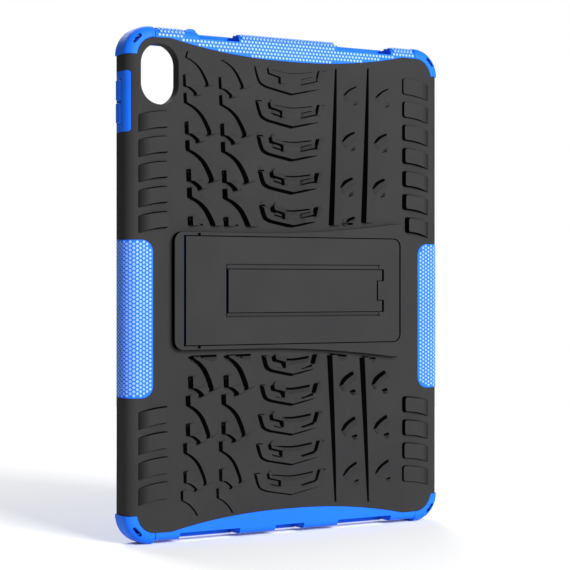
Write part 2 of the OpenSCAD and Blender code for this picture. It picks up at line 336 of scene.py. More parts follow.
def prism(outline: Sequence[Point], y0: float, y1: float) -> bmesh.types.BMesh:
    """Extrude a plan outline through the depth of the case.

    Args:
        outline: Points across and up.
        y0: First depth.
        y1: Last depth.

    Returns:
        A closed solid.
    """
    bm = bmesh.new()
    sweep(bm, [[Vector((x, y, z)) for x, z in outline] for y in (y0, y1)])
    bmesh.ops.recalc_face_normals(bm, faces=bm.faces)
    return bm


def block(x: Point, y: Point, z: Point) -> bmesh.types.BMesh:
    """Make a box between two corners."""
    return prism([(x[0], z[0]), (x[1], z[0]), (x[1], z[1]), (x[0], z[1])], *y)


def rod(x: float, y: float, z: Point, r: float) -> bmesh.types.BMesh:
    """Make an upright round rod, such as a pin or the space for one.

    Args:
        x: Place across.
        y: Depth.
        z: Heights of its two ends.
        r: Radius.

    Returns:
        A closed solid.
    """
    bm = bmesh.new()
    bmesh.ops.create_cone(bm, cap_ends=True, segments=32, radius1=r, radius2=r,
                          depth=z[1] - z[0],
                          matrix=Matrix.Translation((x, y, (z[0] + z[1]) / 2)))
    return bm


def combine(target: bmesh.types.BMesh, tool: bmesh.types.BMesh, how: str) -> None:
    """Join, cut or trim a solid with another one.

    Args:
        target: The solid that changes.
        tool: The other solid, which is used up.
        how: DIFFERENCE, UNION or INTERSECT.
    """
    pair = []
    for name, bm in (("target", target), ("tool", tool)):
        mesh = bpy.data.meshes.new(name)
        bm.to_mesh(mesh)
        pair.append(bpy.data.objects.new(name, mesh))
        bpy.context.scene.collection.objects.link(pair[-1])
    cut = pair[0].modifiers.new("cut", "BOOLEAN")
    cut.operation, cut.object, cut.solver = how, pair[1], "EXACT"
    seen = pair[0].evaluated_get(bpy.context.evaluated_depsgraph_get())
    result = bpy.data.meshes.new_from_object(seen)
    target.clear()
    target.from_mesh(result)
    tool.free()
    for thing in pair:
        mesh = thing.data
        bpy.data.objects.remove(thing)
        bpy.data.meshes.remove(mesh)
    bpy.data.meshes.remove(result)


def soften(bm: bmesh.types.BMesh, radius: float, angle: float = 40,
           keep: Callable[[bmesh.types.BMEdge], bool] = lambda edge: True,
           segments: int = 2) -> None:
    """Round the outward edges that are sharper than an angle.

    Args:
        bm: The mesh.
        radius: Size of the rounding.
        angle: Smallest turn in degrees between the faces of a rounded edge.
        keep: Says whether an edge is rounded.
        segments: Steps across the rounding.
    """
    bmesh.ops.remove_doubles(bm, verts=bm.verts, dist=0.005)
    bmesh.ops.dissolve_limit(bm, angle_limit=math.radians(0.6), verts=bm.verts, edges=bm.edges)
    bm.normal_update()
    sharp = [e for e in bm.edges if len(e.link_faces) == 2 and e.is_convex
             and math.degrees(e.calc_face_angle()) > angle and keep(e)]
    bmesh.ops.bevel(bm, geom=sharp, offset=radius, offset_type="OFFSET", segments=segments,
                    profile=0.5, affect="EDGES", clamp_overlap=True, material=-1)


def finish_piece(name: str, bm: bmesh.types.BMesh, finishes: Sequence[Finish], body: Body,
                 replaced: Sequence[str] = (), sharp: float = 38) -> None:
    """Turn a mesh into a dressed piece that rides on its body.

    Args:
        name: The piece's name.
        bm: Its mesh in millimetres, used up.
        finishes: Its finishes, in the order of the faces' material numbers.
        body: The body that it moves with.
        replaced: The CAD nodes that it stands for.
        sharp: Angle in degrees past which an edge stays crisp.
    """
    bmesh.ops.translate(bm, vec=(0, 0, CASE.mid_z), verts=bm.verts)
    bmesh.ops.scale(bm, vec=(MM, MM, MM), verts=bm.verts)
    mesh = bpy.data.meshes.new(name)
    bm.to_mesh(mesh)
    bm.free()
    mesh.polygons.foreach_set("use_smooth", [True] * len(mesh.polygons))
    mesh.set_sharp_from_angle(angle=math.radians(sharp))
    for finish in finishes:
        mesh.materials.append(finish.material())
    piece = bpy.data.objects.new(name, mesh)
    bpy.context.scene.collection.objects.link(piece)
    weighted = piece.modifiers.new("weighted normals", "WEIGHTED_NORMAL")
    weighted.keep_sharp = True
    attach(piece, body.value)
    if replaced:
        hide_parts(*replaced)
    LOG.info("%s: %d faces on %s", name, len(mesh.polygons), body.value)


def copy_of_node(node: str) -> bmesh.types.BMesh:
    """Copy a CAD node's mesh, with its doubled corners merged.

    Args:
        node: The node's name.

    Returns:
        The mesh in millimetres, with heights from the middle of the case.
    """
    bm = bmesh.new()
    bm.from_mesh(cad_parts[node].data)
    bmesh.ops.scale(bm, vec=(1 / MM, 1 / MM, 1 / MM), verts=bm.verts)
    bmesh.ops.translate(bm, vec=(0, 0, -CASE.mid_z), verts=bm.verts)
    bmesh.ops.remove_doubles(bm, verts=bm.verts, dist=0.004)
    return bm


# ---------------------------------------------------------------- hard shell

@dataclass
class ShellOutline:
    """Plan outline of the hard back: a waist between the end bands and rounded shoulders."""

    waist_z: float = 116.9
    peak_z: float = 124.1
    peak_x: float = 70.0
    shoulder: tuple[float, float, float] = (78.5, 114.0, 10.0)
    shoulder_turn: Point = (88.0, 16.0)
    side_top: Point = (92.5, 114.8)
    far: float = 100.0

    def waist(self, x: float) -> float:
        """Height of the top edge at a place across."""
        reach = min(abs(x), self.peak_x) / self.peak_x
        return self.waist_z + (self.peak_z - self.waist_z) * reach ** 2.2

    def points(self) -> list[Point]:
        """Draw the whole back, anticlockwise from the right.

        Returns:
            The outline.
        """
        x, z, r = self.shoulder
        edge = [(s, self.waist(s)) for s in range(0, int(self.peak_x) + 1, 5)]
        quarter = [*edge, *arc(x, z, r, *self.shoulder_turn), self.side_top,
                   (self.far, self.side_top[1])]
        top = [*reversed(quarter), *((-a, b) for a, b in quarter[1:])]
        return top + [(-a, -b) for a, b in top]


@dataclass
class Platform:
    """Raised platform that the kickstand lies in, flared towards its right end."""

    x: Point = (-69.7, 68.2)
    z: Point = (-32.9, 27.0)
    left_r: float = 5.0
    right_r: float = 4.5
    flare: float = 6.0
    flare_start: float = -22.0
    flare_length: float = 84.0

    def rise(self, x: float) -> float:
        """Extra height of the flare at a place across."""
        return self.flare * max(0.0, (x - self.flare_start) / self.flare_length) ** 1.9

    def points(self) -> list[Point]:
        """Draw the platform, anticlockwise from its lower left corner.

        Returns:
            The outline.
        """
        (x0, x1), (z0, z1), a, b = self.x, self.z, self.left_r, self.right_r
        end = self.flare
        along = range(-40, 61, 5)
        return [*arc(x0 + a, z0 + a, a, 180, 270), *((x, z0 - self.rise(x)) for x in along),
                *arc(x1 - b, z0 - end + b, b, 280, 360), *arc(x1 - b, z1 + end - b, b, 0, 80),
                *((x, z1 + self.rise(x)) for x in reversed(along)),
                *arc(x0 + a, z1 - a, a, 90, 180)]


@dataclass
class HardShell:
    """The black outer shell: thin back with rolled sides, cut-outs and kickstand platform."""

    thickness: float = 1.9
    side_t: float = 1.7
    edge_r: float = 6.0
    lip_r: float = 1.2
    grip_z: Point = (-56.5, 22.6)
    grip_x: float = 80.0
    grip_r: float = 6.0
    panel_z: Point = (76.3, 106.9)
    panel_x: float = 91.6
    panel_r: float = 1.5
    camera_x: Point = (-86.7, -65.8)
    camera_z: Point = (90.5, 121.1)
    collar_t: float = 0.9
    collar_depth: float = 6.4
    plate_z: Point = (-30.4, 24.65)
    recess_x: Point = (-64.35, 66.5)
    recess_depth: float = 3.1
    well_x: Point = (-65.0, -54.8)
    well_depth: float = 7.9
    foot_x: Point = (-41.2, -22.6)
    foot_z: Point = (-14.5, 8.4)
    foot_depth: float = 6.4
    hinge: Point = (-56.1, 1.4)
    hinge_r: float = 0.85
    pin_reach: float = 1.7
    notch_x: Point = (-0.75, 1.0)
    notch_from: Point = (-1.7, 0.3)
    notch_tall: float = 1.5
    notch_depth: float = 1.4
    gap: float = 0.35
    recess_r: float = 4.35
    edge: float = 0.4
    platform_edge: float = 0.5
    # Reach of the painted wall shade round the platform.
    painted_shade_x: float = 72.0
    painted_shade_z: Point = (-40.0, 34.0)
    outline: ShellOutline = field(default_factory=ShellOutline)
    platform: Platform = field(default_factory=Platform)

    def section(self) -> list[Point]:
        """Draw the cross-section of the back and its rolled sides.

        Returns:
            A closed outline, as places across and depths.
        """
        back, front, half = CASE.back_y, CASE.shell_front_y, CASE.half_w
        r, lip, t, side = self.edge_r, self.lip_r, self.thickness, self.side_t
        outer = [*arc(half - r, back + r, r, -90, 0, 12), *arc(half - lip, front - lip, lip, 0, 90, 4)]
        inner = [(half - side, front), (half - side, back + r),
                 *arc(half - r, back + r, r - side, 0, -90, 10)[1:-1], (half - r - 1, back + t)]
        right = outer + inner
        return right + [(-x, y) for x, y in reversed(right)]

    def body(self) -> bmesh.types.BMesh:
        """Make the back and sides with the cut-outs, and no platform yet.

        Returns:
            A closed solid.
        """
        bm = bmesh.new()
        reach = self.outline.peak_z + 2
        sweep(bm, [[Vector((x, y, z)) for x, y in self.section()] for z in (-reach, reach)])
        bmesh.ops.recalc_face_normals(bm, faces=bm.faces)
        depth = (CASE.face_y - 5, CASE.front_y + 5)
        combine(bm, prism(self.outline.points(), *depth), "INTERSECT")
        far = self.outline.far
        holes = [round_box((self.grip_x, self.grip_z[0]), (far, self.grip_z[1]), self.grip_r),
                 round_box((-far, self.grip_z[0]), (-self.grip_x, self.grip_z[1]), self.grip_r),
                 round_box((-far, self.panel_z[0]), (-self.panel_x, self.panel_z[1]),
                           self.panel_r),
                 round_box((self.camera_x[0], self.camera_z[0]), (self.camera_x[1], self.camera_z[1]),
                           (self.camera_x[1] - self.camera_x[0]) / 2, 16)]
        combine(bm, self.collar(), "UNION")
        for outline in holes:
            combine(bm, prism(outline, *depth), "DIFFERENCE")
        soften(bm, self.edge)
        return bm

    def collar(self) -> bmesh.types.BMesh:
        """Make the wall that lines the camera window down to the tablet.

        Returns:
            A solid, still without the window through it.
        """
        (x0, x1), (z0, z1), t = self.camera_x, self.camera_z, self.collar_t
        outline = round_box((x0 - t, z0 - t), (x1 + t, z1 + t), (x1 - x0) / 2 + t, 16)
        return prism(outline, CASE.back_y + self.thickness / 2, CASE.back_y + self.collar_depth)

    def recess(self) -> bmesh.types.BMesh:
        """Make the space that the plate lies in, with round corners at its free end.

        Returns:
            A closed solid that is cut away.
        """
        y = (CASE.face_y - 1, CASE.face_y + self.recess_depth)
        (x0, x1), z0, z1 = self.recess_x, self.plate_z[0] - self.gap, self.plate_z[1] + self.gap
        r = self.recess_r
        return prism([(x0, z0), *arc(x1 - r, z0 + r, r, 270, 360), *arc(x1 - r, z1 - r, r, 0, 90),
                      (x0, z1)], *y)

    def raised(self) -> bmesh.types.BMesh:
        """Make the platform with the kickstand's recess in it.

        Returns:
            A closed solid that reaches a little way into the back.
        """
        face, back = CASE.face_y, CASE.back_y
        bm = prism(self.platform.points(), face, back + 0.6)
        combine(bm, self.recess(), "DIFFERENCE")
        soften(bm, self.platform_edge,
               keep=lambda e: all(abs(v.co.y - face) < 0.01 for v in e.verts))
        return bm

    def build(self) -> None:
        """Make the shell and hand it over."""
        bm = self.body()
        combine(bm, self.raised(), "UNION")
        face = CASE.face_y
        z = (self.plate_z[0] - self.gap, self.plate_z[1] + self.gap)
        tools = [self.recess(),
                 block(self.well_x, (face + 1, face + self.well_depth), z),
                 block(self.foot_x, (face + 1, face + self.foot_depth), self.foot_z),
                 rod(self.hinge[0], face + self.hinge[1],
                     (z[0] - self.pin_reach, z[1] + self.pin_reach), self.hinge_r)]
        notch = (self.hinge[0] + self.notch_x[0], self.hinge[0] + self.notch_x[1])
        tools += [block(notch, (face - 1, face + self.notch_depth), (low, low + self.notch_tall))
                  for low in (self.plate_z[0] + self.notch_from[0],
                              self.plate_z[1] + self.notch_from[1])]
        for tool in tools:
            combine(bm, tool, "DIFFERENCE")
        bmesh.ops.dissolve_limit(bm, angle_limit=math.radians(0.6), verts=bm.verts, edges=bm.edges)
        bm.normal_update()
        # Painted shade: the steep walls and the notch faces round the platform take the near-black
        # wall shade finish.
        low, high = self.painted_shade_z
        for f in bm.faces:
            middle = f.calc_center_median()
            near = abs(middle.x) < self.painted_shade_x and low < middle.z < high
            in_notch = abs(middle.x - self.hinge[0]) < 1.2 and middle.y > face + 0.5
            in_painted_shade = abs(f.normal.y) < 0.6 or in_notch
            f.material_index = int(near and middle.y < CASE.back_y and in_painted_shade)
        finish_piece("outer_shell_body", bm, [ETCHED_ABS, WALL_SHADE_ABS], Body.CASE,
                     ["outer_shell"])


# ---------------------------------------------------------------- tread

@dataclass
class Tread:
    """Tyre-tread relief on the back, taller towards the kickstand.

    Attributes:
        low: Its height at the ends of the case.
        high: Its height beside the kickstand.
        end_z: Where it is lowest, counted from the middle.
        kick_z: Where it is highest.
        bend: How quickly it drops; one is a straight fall.
        foot: How far a wall's foot flares out.
        draft: How far a wall leans back for each millimetre of height.
        edge: Size of the softened edge on top of a wall.
        end_ramp: Length of a slope at the ends of its line.
        taper: How much longer the slope gets for each millimetre from there.
        sink: How far the relief reaches into the back.
        side_draft: Lean of the blocks' upper and lower walls.
        droop: How far a block's outer end hangs below its inner one.
        outer_x: Where the blocks end at the left and at the right.
        floor_z: Lowest place that a hook may reach.
        clip_z: Edges of the platform, past which ribs are trimmed.
        bm: The relief's mesh so far.
    """

    low: float = 0.75
    high: float = 2.65
    end_z: float = 115.0
    kick_z: float = 32.0
    bend: float = 1.7
    foot: float = 0.3
    draft: float = 0.48
    edge: float = 0.25
    end_ramp: float = 4.0
    taper: float = 1.5
    sink: float = 0.4
    side_draft: float = 0.3
    droop: float = 2.8
    outer_x: Point = (88.2, 87.0)
    floor_z: float = -117.5
    clip_z: Point = (-36.2, 30.2)
    bm: bmesh.types.BMesh = field(default_factory=bmesh.new)

    def height(self, z: float) -> float:
        """Height of the relief at a distance from the middle."""
        share = (abs(z) - self.kick_z) / (self.end_z - self.kick_z)
        return self.high - (self.high - self.low) * min(1.0, max(0.0, share)) ** self.bend

    def rib(self, path: Sequence[Point], towards: Point, ramp: float = 7.0,
            scale: float = 1.0, blunt: bool = False, point: float = 0.0,
            turned: Point | None = None) -> None:
        """Add one shingle: a steep wall along a line, with a long slope behind it.

        Args:
            path: Closely spaced places along the wall's foot.
            towards: The way across the case that the slope runs.
            ramp: Length of the slope.
            scale: Share of the tread's height that it has.
            blunt: Whether the slope is as long at the ends as in the middle.
            point: Length over which each end runs out.
            turned: The way that the slope runs at the line's last place, if it differs.
        """
        rings = []
        for i, (x, z) in enumerate(path):
            way = Vector(towards).lerp(Vector(turned or towards), i / (len(path) - 1)).normalized()
            to_end = min(math.dist((x, z), path[0]), math.dist((x, z), path[-1]))
            tall = self.height(z) * scale
            if point:
                tall *= min(1.0, 0.25 + to_end / point)
            reach = ramp if blunt else min(ramp, self.end_ramp + self.taper * to_end)
            lean, edge, low = self.draft * tall, min(self.edge, 0.2 * tall), min(1.0, tall)
            section = [(-self.foot * low, -0.05), (0.0, 0.35 * low), (lean, tall - edge),
                       (lean + edge, tall), (lean + max(reach, 2 * lean), -0.05),
                       (lean + reach * 0.5, -self.sink), (0.0, -self.sink)]
            rings.append([Vector((x + way.x * s, CASE.back_y - h, z + way.y * s))
                          for s, h in section])
        bm = bmesh.new()
        sweep(bm, rings)
        bmesh.ops.recalc_face_normals(bm, faces=bm.faces)
        # Painted shade: the wall's faces take the near-black wall shade finish, and the slope keeps
        # the etched one.
        wall = {tuple(place) for ring in rings for place in ring[:4]}
        for face in bm.faces:
            face.material_index = int(all(tuple(v.co) in wall for v in face.verts))
        self.absorb(bm)

    def absorb(self, bm: bmesh.types.BMesh) -> None:
        """Join a finished solid to the relief.

        Args:
            bm: The solid, which is used up.
        """
        mesh = bpy.data.meshes.new("relief")
        bm.to_mesh(mesh)
        bm.free()
        self.bm.from_mesh(mesh)
        bpy.data.meshes.remove(mesh)

    def score(self, points: Sequence[Point], towards: Point, scale: float = 0.4) -> None:
        """Add one fine line: a very low step.

        Args:
            points: Its places, joined by straight lines.
            towards: The way that its slope runs.
            scale: Share of the tread's height that it has.
        """
        self.rib(smooth_path(points, step=0.6), towards, ramp=2.5, scale=scale, point=1.2)

    def shoulder(self, side: int, top: float, inner: float, tall: float = 8.9) -> None:
        """Add one shoulder block, steep at its inner end and low by the edge of the case.

        Args:
            side: Minus one at the left and one at the right.
            top: Height of its inner top corner.
            inner: How far out it starts.
            tall: Its size up the case.
        """
        outer = self.outer_x[1] if side > 0 else self.outer_x[0]
        shares = [i / 6 for i in range(7)]
        fall = [(inner + (outer - inner) * s, -self.droop * s ** 2) for s in shares]
        lower = [(x, top - tall + dz) for x, dz in fall]
        upper = [(x, top + dz) for x, dz in reversed(fall)]
        ends = [(inner, top), *lower, *upper[:-1]]
        radii = [1.6, 1.6, *[0.5] * 5, 0.9, 0.9, *[0.5] * 5]
        bm = prism(rounded([(side * x, z) for x, z in ends], radii),
                   CASE.back_y + self.sink, CASE.back_y - 1)
        for share in (0.05, 0.1, 0.17, 0.25, 0.35, 0.5, 0.7):
            at = side * (outer - (outer - inner) * share)
            bmesh.ops.bisect_plane(bm, geom=[*bm.verts, *bm.edges, *bm.faces],
                                   plane_co=(at, 0, 0), plane_no=(1, 0, 0))
        steep = self.height(top - tall / 2)
        for v in (v for v in bm.verts if v.co.y < CASE.back_y - 0.5):
            out = min(1.0, max(0.0, (abs(v.co.x) - inner) / (outer - inner)))
            rise = 0.1 + (steep - 0.1) * (1 - out ** 4)
            middle = top - tall / 2 - self.droop * out ** 2
            lean = self.draft * rise * max(0.0, 1 - 4 * out)
            v.co.y = CASE.back_y - rise
            v.co.x += side * lean
            v.co.z += self.side_draft * rise * min(1.0, max(-1.0, (middle - v.co.z) / 3))
        bm.normal_update()
        # Painted shade: steep walls and the bevel take the near-black wall shade finish, and the tops
        # the finish with painted shade at the outer ends.
        for face in bm.faces:
            face.material_index = 1 if abs(face.normal.y) < 0.8 and face.normal.x < 0.5 else 2
        rim = [e for e in bm.edges if all(v.co.y < CASE.back_y for v in e.verts)
               and {f.material_index for f in e.link_faces} == {1, 2}]
        bmesh.ops.bevel(bm, geom=rim, offset=0.22, segments=2, profile=0.5, affect="EDGES",
                        clamp_overlap=True, material=1)
        self.absorb(bm)

    def shoulders(self) -> None:
        """Blocks down both long sides."""
        pitch = 12.6
        for side, top, count, inner in ((1, 112.8, 6, 69.6), (1, 37.2, 1, 71.4), (-1, 87.7, 5, 71.4),
                                        (1, -60.6, 4, 69.6), (-1, -60.6, 4, 71.4)):
            for i in range(count):
                self.shoulder(side, top - pitch * i, inner)

    def hooks(self) -> None:
        """Two columns of long and short hooks, each row a little further in than the last."""
        curve = [(0.0, 0.0), (4.5, -2.2), (8.5, -5.6), (11.3, -9.9), (13.2, -13.9), (13.3, -15.4),
                 (12.3, -16.2)]
        tail = [(0.2, -5.7), (2.5, -6.1), (5.3, -8.0), (6.3, -9.3), (5.6, -10.2)]
        low_curve = [(0.86 * x, 1.06 * z) for x, z in curve]
        pitch, column, across = 23.9, 20.3, (1.0, 0.15)
        for right in (0.0, column):
            first = [(right - 62.1 + 0.88 * x, 115.0 + 0.88 * z) for x, z in curve]
            tick = [] if right else [(-61.2, 118.0)]
            self.rib([*tick, *smooth_path(first)], across)
            for x, z, drift, rows, line in ((-62.8, 92.1, 0.95, 3, curve),
                                            (-60.2, -37.0, -1.4, 4, low_curve)):
                for row in range(rows):
                    at = (x + drift * row + right, z - pitch * row)
                    hook = smooth_path([(at[0] + dx, at[1] + dz) for dx, dz in line])
                    self.rib([(at[0] - 0.2, at[1] + 4.8),
                              *(p for p in hook if p[1] > self.floor_z)], across)
            for x, z, drift, rows in ((-63.3, 106.0, 0.9, 4), (-60.4, -46.6, -1.3, 3)):
                for row in range(rows):
                    at = (x + drift * row + right, z - pitch * row)
                    end = smooth_path([(at[0] + dx, at[1] + dz) for dx, dz in tail])
                    self.rib([at, (at[0] + 0.1, at[1] - 2.8), *end], across)
                    self.rib([(at[0] + 2.2, at[1] + 0.4), (at[0] - 0.1, at[1])], (0.3, -1.0),
                             ramp=1.8, scale=0.6)
            self.score([(right - 59.5, 30.3), (right - 52.0, 30.3)], (0.0, 1.0))

    def chevrons(self) -> None:
        """Middle chevrons, wider and taller towards the end bands."""
        arm = [*smooth_path([(-22.0, 0.0), (-20.6, -5.4), (-18.9, -8.8), (-15.2, -10.8)]),
               (-7.6, -12.4), (0.0, -13.9), (8.6, -12.0), (17.2, -10.0)]
        rows = [(113.4 - 18.1 * i, 1 - 0.035 * i, 1 - 0.054 * i) for i in range(5)]
        rows += [(-36.7 - 15.2 * i, 0.8 + 0.05 * i, 0.78 + 0.03 * i) for i in range(5)]
        for top, wide, tall in rows:
            def placed(line: Sequence[Point]) -> list[Point]:
                """Move a line to its row, at the row's size."""
                return [(x * wide - 0.4, top + z * tall) for x, z in line]

            up = (0.3, 1.0) if top > 0 else (0.3, -1.0)
            self.rib(placed(arm), (1.0, 0.0), ramp=4.5, scale=0.85, point=1.0,
                     turned=(0.3, 1.0))
            self.rib(placed([(-14.4, -0.9), (-13.8, -3.6), (-7.0, -5.4)]), (0.75, 0.65), ramp=3.5,
                     scale=0.9)
            self.rib(placed([(-7.4, -5.0), (-7.4, -8.4)]), (1.0, 0.1), ramp=4.0)
            self.rib(placed([(16.6, -0.2), (14.9, -6.1)]), (1.0, 0.1), ramp=6.0, scale=0.9)
            self.score(placed([(15.6, -6.1), (5.8, -8.5)]), up, scale=0.7)
            if tall < 0.95:
                self.score(placed([(-12.6, -6.6), (-6.8, -8.2)]), up, scale=0.6)
                self.score(placed([(-18.0, 0.1), (-22.2, 0.1)]), up)
            if top > 0:
                self.score(placed([(13.6, -3.7), (6.0, -5.6)]), up)
            self.score(placed([(21.5, 0.0), (16.4, -0.2)]), (0.0, -1.0))
            self.score(placed([(13.6, -1.0), (0.0, -2.6), (-12.8, -1.0)]), (0.0, -1.0),
                       scale=0.35 if top > 0 else 0.5)

    def straights(self) -> None:
        """Two long straight ribs above and below the kickstand."""
        upper = ((26.9, 115.0), (23.0, 31.8)), ((47.2, 116.5), (43.4, 33.6))
        lower = ((22.0, -37.2), (26.7, -115.2)), ((42.4, -39.0), (47.4, -116.5))
        for start, stop in (*upper, *lower):
            self.rib(smooth_path([start, stop], step=6.0), (1.0, 0.0), ramp=7.0, blunt=True)
        self.score([(34.0, -37.6), (23.0, -36.4)], (0.0, -1.0), scale=0.5)
        self.score([(52.5, -39.4), (43.6, -38.3)], (0.0, -1.0), scale=0.5)

    def dashes(self) -> None:
        """Curved dashes and small ticks beside the straight ribs."""
        behind = (0.7, -0.7)
        for right in (0.0, 20.5):
            for row in range(3):
                x, z = 31.2 - 1.5 * row + right, 100.8 - 24.5 * row
                self.rib(smooth_path([(x + 9.3, z + 5.8), (x + 4.4, z + 3.6), (x, z - 0.2)]),
                         behind, ramp=4.5, scale=0.75, point=2.2)
                self.score([(x + 9.6, z - 3.8), (x + 7.0, z - 4.6)], (0.5, 0.8), scale=0.6)
                x, z = 28.4 + 1.3 * row + right, -53.5 - 24.2 * row
                self.rib(smooth_path([(x + 9.2, z + 7.2), (x + 4.0, z + 4.2), (x, z)]),
                         behind, ramp=4.5, scale=0.85, point=1.6)
                self.score([(x + 10.6, z - 2.4), (x + 7.6, z - 3.4)], (0.6, -0.8), scale=0.75)
        self.rib(smooth_path([(38.8, 36.6), (34.5, 35.0), (30.8, 32.6)]), behind, ramp=2.0,
                 scale=0.6, point=1.5)
        self.score([(38.0, 32.4), (31.2, 32.2)], (0.0, 1.0), scale=0.5)

    def build(self) -> None:
        """Make the whole relief and hand it over as one moulded piece."""
        self.hooks()
        self.chevrons()
        self.straights()
        self.dashes()
        self.clip()
        for right in (0.0, 19.9):
            self.score([(right - 44.3, -35.7), (right - 59.0, -36.0)], (0.0, -1.0), scale=0.5)
        self.shoulders()
        finish_piece("shell_tread", self.bm, [ETCHED_ABS, WALL_SHADE_ABS, SHADE_FADED_ABS], Body.CASE,
                     sharp=50)

    def clip(self) -> None:
        """Trim the ribs that would run into the kickstand's platform."""
        lower, upper = self.clip_z
        for limit, way in ((upper, 1), (lower, -1)):
            part = [f for f in self.bm.faces if f.calc_center_median().z * way > 5]
            verts = {v for f in part for v in f.verts}
            edges = {e for f in part for e in f.edges}
            cut = bmesh.ops.bisect_plane(self.bm, geom=[*verts, *edges, *part],
                                         plane_co=(0, 0, limit), plane_no=(0, 0, way),
                                         clear_inner=True)["geom_cut"]
            rim = [e for e in cut if isinstance(e, bmesh.types.BMEdge)]
            bmesh.ops.holes_fill(self.bm, edges=rim)


def rounded(corners: Sequence[Point], radii: Sequence[float], steps: int = 4) -> list[Point]:
    """Round the corners of a polygon with curves that start and end on its sides.

    Args:
        corners: The polygon.
        radii: How far from each corner its rounding starts.
        steps: Steps in each rounding.

    Returns:
        The rounded outline.
    """
    outline: list[Point] = []
    for i, (corner, r) in enumerate(zip(corners, radii)):
        here = Vector(corner)
        before = here + (Vector(corners[i - 1]) - here).normalized() * r
        after = here + (Vector(corners[(i + 1) % len(corners)]) - here).normalized() * r
        for k in range(steps + 1):
            t = k / steps
            p = before * (1 - t) ** 2 + here * 2 * t * (1 - t) + after * t * t
            outline.append((p.x, p.y))
    return outline


# ---------------------------------------------------------------- soft sleeve

@dataclass
class Honeycomb:
    """Raised hexagonal dots in a close-packed pattern."""

    pitch: float = 2.04
    base_r: float = 1.1
    crown_r: float = 0.7
    proud: float = 0.34
    sunk: float = 0.15
    bm: bmesh.types.BMesh = field(default_factory=bmesh.new)

    @property
    def column(self) -> float:
        """Distance between neighbouring columns."""
        return self.pitch * math.sqrt(3) / 2

    def dot(self, place: Vector, normal: Vector) -> None:
        """Add one dot.

        Args:
            place: Where it stands on the surface.
            normal: The way out of the surface.
        """
        turn = Vector((0, 0, 1)).rotation_difference(normal).to_matrix().to_4x4()
        middle = place + normal * (self.proud - self.sunk) / 2
        made = bmesh.ops.create_cone(self.bm, cap_ends=True, segments=6, radius1=self.base_r,
                                     radius2=self.crown_r, depth=self.proud + self.sunk,
                                     matrix=Matrix.Translation(middle) @ turn)
        # Painted highlight: the crowns take the palest blue and the flanks a paler blue than the
        # sleeve.
        for face in {f for v in made["verts"] for f in v.link_faces}:
            face.normal_update()
            face.material_index = 1 if face.normal.dot(normal) > 0.9 else 0

    def lattice(self, columns: tuple[int, int], low: float, high: float) -> Iterator[Point]:
        """Give the close-packed places in a range of columns and heights.

        Args:
            columns: First column and the one after the last.
            low: Lowest height.
            high: Greatest height.

        Yields:
            Distance along the columns' axis and height.
        """
        for j in range(*columns):
            offset = self.pitch / 2 if j % 2 else 0.0
            for i in range(math.ceil((low - offset) / self.pitch),
                           math.floor((high - offset) / self.pitch) + 1):
                yield j * self.column, offset + i * self.pitch


